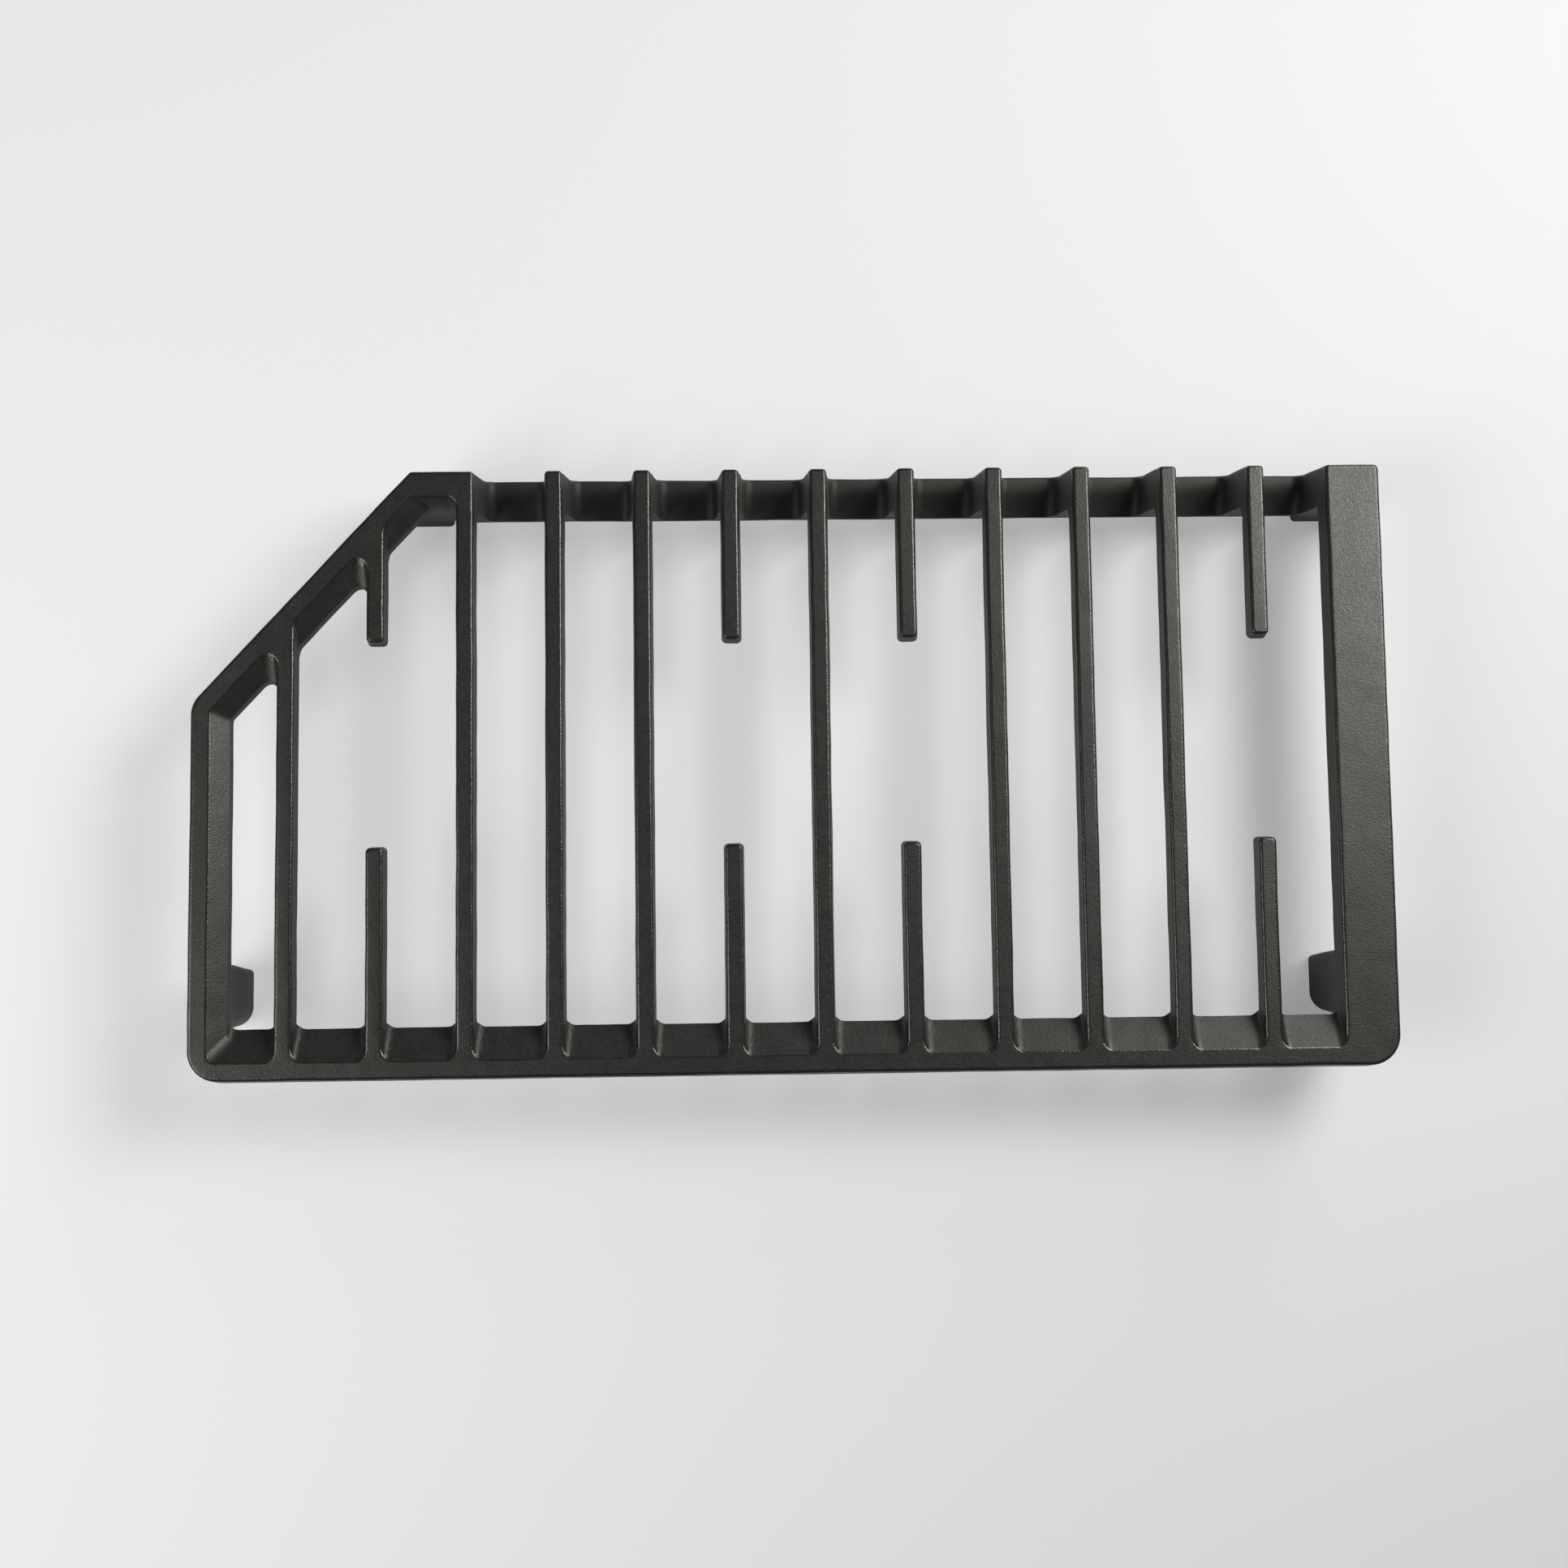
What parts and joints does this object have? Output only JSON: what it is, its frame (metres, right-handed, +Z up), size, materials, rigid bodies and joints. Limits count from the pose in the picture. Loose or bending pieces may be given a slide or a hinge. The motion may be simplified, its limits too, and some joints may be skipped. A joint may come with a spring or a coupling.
{
  "type": "hob pan support",
  "caption": "Long cast-iron pan support for a gas hob: parallel bars in a low frame with one cut corner, short fingers over the burners and a lowered back rail on feet.",
  "frame": {"origin": "bottom centre of the bounding box, on the surface that the feet stand on", "axes": "+X along the long side, away from the cut corner's end; +Y towards the lowered back rail; +Z up, towards the pans"},
  "size_m": [0.4754, 0.2426, 0.048],
  "materials": {
    "enamelled_iron": "sand-cast grain under matt black enamel"
  },
  "bodies": {
    "root": {"pan_support": "enamelled_iron"}
  },
  "joints": []
}
